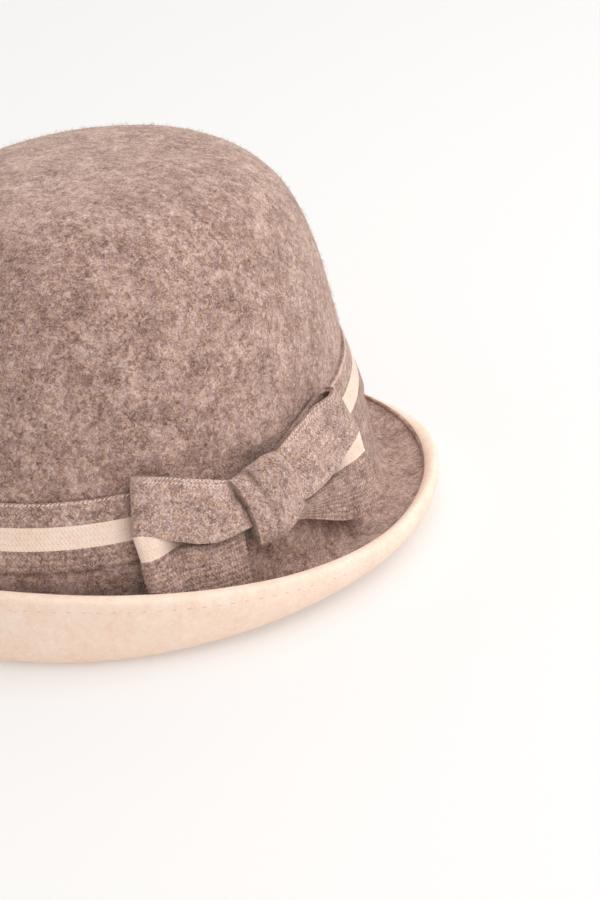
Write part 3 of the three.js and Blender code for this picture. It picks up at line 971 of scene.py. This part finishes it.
def noise_value(tree, place, size, detail=2.0, roughness=0.5, distortion=0.0):
    node = add_node(tree, "TexNoise", Vector=place, Scale=1 / size, Detail=detail, Roughness=roughness)
    node.inputs["Distortion"].default_value = distortion
    return node.outputs["Fac"]


def weighted(tree, *layers):
    """The sum of layers, each a pair of an output and its weight, with a middle value of a half."""
    total = 0.5
    for value, weight in layers:
        above_middle = maths(tree, "SUBTRACT", value, 0.5)
        total = maths(tree, "ADD", total, maths(tree, "MULTIPLY", above_middle, weight))
    return total


# Heathered wool: each layer's size, detail, roughness and distortion. The tones go from dark to pale
# fibres, the tints from cool to warm ones, and the strengths are those of the layers, in their order.
WOOL_LAYERS = {
    "patches": (13 * MM, 2, 0.5, 0.0),
    "clouds": (4.2 * MM, 2, 0.55, 0.3),
    "flecks": (1.7 * MM, 2, 0.6, 1.2),
    "fibres": (0.85 * MM, 1, 0.5, 1.8),
}
FLECK_RELIEF = 0.5
FIBRE_RELIEF = 0.9
TINT_LAYER = (2.6 * MM, 2, 0.55, 0.6)
BROWN_TINTS = ((0.3, colour(244, 246, 255)), (0.5, colour(251, 250, 250)), (0.7, colour(255, 250, 238)))
CREAM_TINTS = ((0.3, colour(255, 250, 248)), (0.7, colour(255, 254, 250)))


def heather(tree, tones, strengths, tints):
    """Colour and relief of heathered wool, from soft patches down to single fibres."""
    place = add_node(tree, "TexCoord").outputs["Object"]
    layers = {name: noise_value(tree, place, *layer) for name, layer in WOOL_LAYERS.items()}
    mix = weighted(tree, *((layers[name], strength) for name, strength in zip(layers, strengths)))
    height = weighted(tree, (layers["flecks"], FLECK_RELIEF), (layers["fibres"], FIBRE_RELIEF))
    tint = ramp(tree, noise_value(tree, place, *TINT_LAYER), *tints)
    return blended(tree, 1.0, ramp(tree, mix, *tones), tint, "MULTIPLY"), height


BROWN_TONES = (
    (0.22, colour(96, 72, 63)),
    (0.42, colour(152, 122, 111)),
    (0.56, colour(188, 157, 144)),
    (0.80, colour(230, 205, 193)),
)
KNIT_TONES = (
    (0.20, colour(102, 78, 69)),
    (0.42, colour(170, 140, 128)),
    (0.56, colour(209, 178, 165)),
    (0.80, colour(248, 226, 214)),
)
CREAM_TONES = (
    (0.25, colour(243, 212, 191)),
    (0.5, colour(253, 230, 213)),
    (0.75, colour(255, 244, 234)),
)
FELT_STRENGTHS = (0.3, 0.42, 0.7, 0.6)
KNIT_STRENGTHS = (0.25, 0.35, 0.7, 0.7)
CREAM_STRENGTHS = (0.28, 0.3, 0.4, 0.35)

# Tones of painted shade in folds and in gaps between stitches, of the ribbed brown, and how much shows
PAINTED_SHADE_TONE = colour(70, 50, 42)
GAP_SHADE_TONE = colour(120, 92, 80)
RIBBED_TONE = colour(250, 248, 246)
PAINTED_SHADE_SHARE = 0.85
GAP_LEVEL = 0.6
GAP_SHARE = 0.34
GROOVE_SHARE = 0.34
CREAM_GAP_SHARE = 0.28
SHEEN_TINT = colour(255, 240, 228)
BUMP_DISTANCE = 0.5 * MM


def finish_wool(tree, shader, tone, height, sheen, bump):
    tree.links.new(tone, shader.inputs["Base Color"])
    shader.inputs["Sheen Weight"].default_value = sheen
    shader.inputs["Sheen Tint"].default_value = SHEEN_TINT
    relief = add_node(tree, "Bump", Height=height, Strength=bump, Distance=BUMP_DISTANCE)
    tree.links.new(relief.outputs["Normal"], shader.inputs["Normal"])


def felt(name, tones, strengths, tints, sheen, bump):
    material, tree, shader = new_material(name)
    tone, height = heather(tree, tones, strengths, tints)
    finish_wool(tree, shader, tone, height, sheen, bump)
    return material


YARN_PATCH = 3 * MM
YARN_SHEEN = 0.3
YARN_STOPS = (0.35, 0.65)


def plain_yarn(name, tone, pale):
    """Yarn or fibre of one shade, with a little variation over the hat."""
    material, tree, shader = new_material(name)
    place = add_node(tree, "TexCoord").outputs["Object"]
    mottled = ramp(tree, noise_value(tree, place, YARN_PATCH), *zip(YARN_STOPS, (tone, pale)))
    tree.links.new(mottled, shader.inputs["Base Color"])
    shader.inputs["Sheen Weight"].default_value = YARN_SHEEN
    return material


LEG_SLANT = 0.7
LEG_HEIGHT = 0.28
COLUMN_HEIGHT = 0.45


def knit_pattern(tree, ribbon):
    """Height of knitted stitches: columns along the ribbon, each of two rows of slanting legs."""
    parts = add_node(tree, "SeparateXYZ", Vector=ribbon).outputs
    column = maths(tree, "DIVIDE", maths(tree, "PINGPONG", parts["Y"], RIB_PITCH / 2), RIB_PITCH / 2)
    slant = maths(tree, "MULTIPLY", column, LEG_SLANT)
    leg = maths(tree, "ADD", maths(tree, "DIVIDE", parts["X"], STITCH_PITCH), slant)
    wave = maths(tree, "SINE", maths(tree, "MULTIPLY", leg, 2 * math.pi))
    legs, columns = maths(tree, "MULTIPLY", wave, LEG_HEIGHT), maths(tree, "MULTIPLY", column, COLUMN_HEIGHT)
    return maths(tree, "ADD", legs, columns)


def rib_groove(tree, ribbon):
    """0 on the ridges of the ribs and 1 in the grooves between them."""
    across = add_node(tree, "SeparateXYZ", Vector=ribbon).outputs["Y"]
    turn = maths(tree, "MULTIPLY", across, 2 * math.pi / RIB_PITCH)
    return maths(tree, "MULTIPLY", maths(tree, "SUBTRACT", 1.0, maths(tree, "COSINE", turn)), 0.5)


RIBBON_SHEEN = 0.3
RIBBON_BUMP = 0.55
WOOL_RELIEF_SHARE = 0.6


def striped_ribbon_material():
    """Brown knit with a cream stripe; the stripe and the painted shade come from the piece's own places."""
    material, tree, shader = new_material("striped_knit")
    brown, height = heather(tree, KNIT_TONES, KNIT_STRENGTHS, BROWN_TINTS)
    cream, _ = heather(tree, CREAM_TONES, CREAM_STRENGTHS, CREAM_TINTS)
    ribbon = add_node(tree, "Attribute", {"attribute_name": "ribbon"}).outputs["Vector"]
    stripe = add_node(tree, "SeparateXYZ", Vector=ribbon).outputs["Z"]
    below_upper = maths(tree, "GREATER_THAN", stripe, 1.0)
    inside = maths(tree, "MULTIPLY", below_upper, maths(tree, "LESS_THAN", stripe, 2.0))
    knit = knit_pattern(tree, ribbon)
    tone = blended(tree, inside, brown, cream)
    # Painted shade in the gaps between knitted stitches, fainter on the cream
    gaps = maths(tree, "MULTIPLY", maths(tree, "SUBTRACT", GAP_LEVEL, knit), GAP_SHARE)
    fainter = maths(tree, "SUBTRACT", 1.0, maths(tree, "MULTIPLY", inside, 1 - CREAM_GAP_SHARE))
    gaps = maths(tree, "MULTIPLY", maths(tree, "MAXIMUM", gaps, 0.0), fainter)
    tone = blended(tree, gaps, tone, GAP_SHADE_TONE, "MULTIPLY")
    ribbed = maths(tree, "GREATER_THAN", stripe, 2.0)
    tone = blended(tree, ribbed, tone, RIBBED_TONE, "MULTIPLY")
    # Painted shade in the grooves between the lower brown's ribs
    groove = maths(tree, "MULTIPLY", rib_groove(tree, ribbon), ribbed)
    tone = blended(tree, maths(tree, "MULTIPLY", groove, GROOVE_SHARE), tone, GAP_SHADE_TONE, "MULTIPLY")
    # Painted shade where each piece marks it: folds, pockets, under the lip, the loops' backs, the knot, the
    # band
    fold = add_node(tree, "Attribute", {"attribute_name": "fold"}).outputs["Fac"]
    tone = blended(tree, maths(tree, "MULTIPLY", fold, PAINTED_SHADE_SHARE), tone, PAINTED_SHADE_TONE)
    height = maths(tree, "ADD", maths(tree, "MULTIPLY", height, WOOL_RELIEF_SHARE), knit)
    finish_wool(tree, shader, tone, height, RIBBON_SHEEN, RIBBON_BUMP)
    return material


# Floor, light and camera. The view's angles are in radians: up from the floor, round from the front
# towards the bow's side, and the tilt of the picture.

VIEW_ELEVATION = 0.439
VIEW_TURN = 0.3976
VIEW_DISTANCE = 0.96684
VIEW_ROLL = 0.0944
VIEW_LENS = 96.05
SENSOR_WIDTH = 36
CLIP = (0.01, 20)
AIM = (66.94 * MM, 28.12 * MM + HAT_MIDDLE_Y, 22.81 * MM)

FLOOR_SIZE = 12
FLOOR_GAP = 0.05 * MM
FLOOR_TONE = colour(205, 204, 203)
FLOOR_GLOW = 0.3
SKY_TONE = colour(255, 254, 254)
SKY_STRENGTH = 0.66
LIGHT_TONE = colour(255, 253, 251)

# Lights, as the camera sees them, in metres: to the right, away from it and up, the same for where they
# aim, then their size and power in watts
LIGHTS = (
    # name, right, away, up, aim away, aim up, size, power
    ("window", 1.0, -0.2, 0.85, 0.0, 0.06, 1.1, 7),
    ("ceiling", 0.3, -0.75, 1.4, 0.0, 0.0, 1.5, 5),
    ("backdrop_light", 0.5, 1.4, 1.5, 1.2, 0.0, 2.2, 10),
)


def camera():
    data = bpy.data.cameras.new("view")
    data.lens = VIEW_LENS
    data.sensor_width = SENSOR_WIDTH
    data.clip_start, data.clip_end = CLIP
    eye = bpy.data.objects.new("view", data)
    bpy.context.collection.objects.link(eye)
    level = math.cos(VIEW_ELEVATION)
    back = Vector((math.sin(VIEW_TURN) * level, -math.cos(VIEW_TURN) * level, math.sin(VIEW_ELEVATION)))
    eye.location = Vector(AIM) + back * VIEW_DISTANCE
    eye.rotation_euler = back.to_track_quat("Z", "Y").to_euler()
    eye.rotation_euler.rotate_axis("Z", -VIEW_ROLL)
    bpy.context.scene.camera = eye


def floor():
    bpy.ops.object.select_all(action="DESELECT")
    bpy.ops.mesh.primitive_plane_add(size=FLOOR_SIZE, location=(0, 0, -FLOOR_GAP))
    ground = bpy.context.object
    ground.name = "floor"
    material, _, shader = new_material("pale_floor")
    shader.inputs["Base Color"].default_value = FLOOR_TONE
    shader.inputs["Emission Color"].default_value = LIGHT_TONE
    shader.inputs["Emission Strength"].default_value = FLOOR_GLOW
    ground.data.materials.append(material)


def soft_box(name, place, aim, size, power):
    data = bpy.data.lights.new(name, "AREA")
    data.shape = "SQUARE"
    data.size = size
    data.energy = power
    data.color = LIGHT_TONE[:3]
    lamp = bpy.data.objects.new(name, data)
    lamp.location = place
    lamp.rotation_euler = (place - aim).to_track_quat("Z", "Y").to_euler()
    bpy.context.collection.objects.link(lamp)


def studio_light():
    world = bpy.data.worlds.new("studio")
    bpy.context.scene.world = world
    world.use_nodes = True
    sky = world.node_tree.nodes["Background"]
    sky.inputs["Color"].default_value = SKY_TONE
    sky.inputs["Strength"].default_value = SKY_STRENGTH
    across = Vector((math.cos(VIEW_TURN), math.sin(VIEW_TURN), 0))
    ahead = Vector((-math.sin(VIEW_TURN), math.cos(VIEW_TURN), 0))
    for name, right, away, up, aim_away, aim_up, size, power in LIGHTS:
        place = across * right + ahead * away + Vector((0, 0, up))
        aim = ahead * aim_away + Vector((0, 0, aim_up))
        soft_box(name, place, aim, size, power)
    bpy.context.scene.view_settings.view_transform = "Standard"


# The hat. Felt: name, tones, strengths, tints, sheen and bump. Loose fibres: name, carriers, count, length,
# width, seed and material.

brown_felt = felt("brown_felt", BROWN_TONES, FELT_STRENGTHS, BROWN_TINTS, 0.35, 0.5)
cream_felt = felt("cream_felt", CREAM_TONES, CREAM_STRENGTHS, CREAM_TINTS, 0.2, 0.35)
striped_knit = striped_ribbon_material()
pale_yarn = plain_yarn("pale_yarn", colour(214, 186, 172), colour(240, 218, 206))
tan_yarn = plain_yarn("tan_yarn", colour(216, 184, 162), colour(232, 204, 184))
brown_fuzz = plain_yarn("brown_fuzz", colour(150, 122, 112), colour(222, 198, 186))
cream_fuzz = plain_yarn("cream_fuzz", colour(240, 220, 206), colour(252, 240, 230))

body = crown_and_brim()
under_brim = facing()
felt_roll()
band = knitted_band()
loops = [bow_loop(loop) for loop in LOOPS]
knot = bow_knot()
edge_stitches(band, loops)
facing_stitches(under_brim)
knits = [band, *loops, knot]
loose_fibres("crown_fuzz", [body], 18000, 1.9 * MM, 0.055 * MM, 11, brown_fuzz)
loose_fibres("facing_fuzz", [under_brim], 6000, 1.1 * MM, 0.04 * MM, 12, cream_fuzz)
loose_fibres("bow_fuzz", knits, 5000, 1.1 * MM, 0.04 * MM, 13, brown_fuzz)
floor()
studio_light()
camera()
